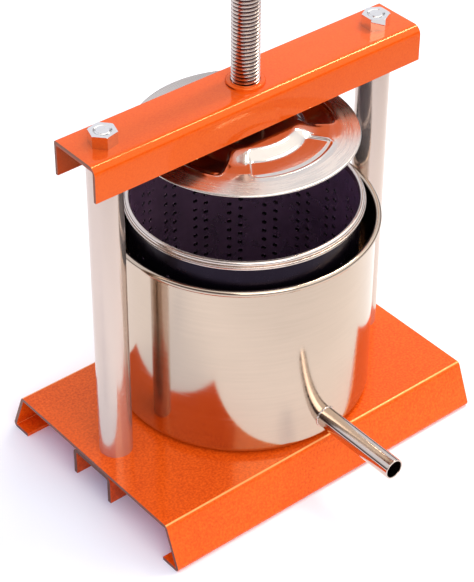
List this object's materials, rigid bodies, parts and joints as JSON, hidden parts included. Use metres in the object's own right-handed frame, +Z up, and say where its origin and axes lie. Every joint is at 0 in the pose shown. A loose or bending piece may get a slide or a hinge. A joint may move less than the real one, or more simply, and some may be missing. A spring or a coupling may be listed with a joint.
{
  "type": "basket wine press",
  "caption": "Bench screw press: perforated basket in a spouted tank under a crossbeam, with a threaded spindle that lowers a stamped plate.",
  "frame": {"origin": "on the bench under the middle of the whole outline seen from above; the press axis stands 22.55 mm behind it at X = 0", "axes": "+Z up along the spindle, +X to the right along the crossbeam, -Y out along the juice spout at the front"},
  "size_m": [0.256, 0.2425, 0.466],
  "materials": {
    "orange_paint": "powder-coated orange, fine grain, semi-gloss",
    "polished_stainless": "polished stainless sheet",
    "bright_tube": "bright steel tube",
    "machined_steel": "turned and threaded steel",
    "zinc_plate": "bright zinc plate",
    "dark_enamel": "dark blue-black enamel, semi-gloss",
    "bronze": "plain bronze",
    "black_grip": "moulded black grip"
  },
  "bodies": {
    "frame": {"base_plate": "orange_paint", "lower_channel": "orange_paint", "crossbeam": "orange_paint", "screw_bush": "orange_paint", "column_left": "bright_tube", "column_right": "bright_tube", "tie_rod_left": "zinc_plate", "tie_rod_right": "zinc_plate", "top_nuts": "zinc_plate", "bottom_nuts": "zinc_plate", "bottom_washers": "zinc_plate"},
    "plate": {"press_plate": "polished_stainless", "plate_hub": "machined_steel", "hub_screws": "zinc_plate", "thrust_washer": "bronze"},
    "screw": {"screw_spindle": "machined_steel", "handle_hub": "orange_paint", "hub_pin": "zinc_plate", "bar_set_screw": "zinc_plate", "handle_bar": "bright_tube", "handle_knob_left": "black_grip", "handle_knob_right": "black_grip"},
    "tank": {"tank_wall": "polished_stainless", "tank_rim": "polished_stainless", "tank_corner": "polished_stainless", "tank_floor": "polished_stainless", "spout_tube": "polished_stainless"},
    "basket": {"basket_wall": "dark_enamel", "basket_rim": "polished_stainless", "basket_floor": "dark_enamel", "basket_feet": "polished_stainless"}
  },
  "joints": [
    {"name": "plate_travel", "type": "slide", "parent": "frame", "child": "plate", "axis": [0, 0, -1], "range_m": [0, 0.16]},
    {"name": "screw_turn", "type": "hinge", "parent": "plate", "child": "screw", "pos_m": [0, 0.02255, 0.2715], "axis": [0, 0, -1], "range_deg": [0, 23038]},
    {"name": "tank_turn", "type": "hinge", "parent": "frame", "child": "tank", "pos_m": [0.0054, 0.03125, 0.032], "axis": [0, 0, 1], "range_deg": [-45, 45]},
    {"name": "basket_turn", "type": "hinge", "parent": "frame", "child": "basket", "pos_m": [0, 0.02255, 0.033], "axis": [0, 0, 1], "continuous": true}
  ],
  "couplings": [
    {"joint": "plate_travel", "follows": "screw_turn", "m_per_rad": 0.00039789}
  ]
}
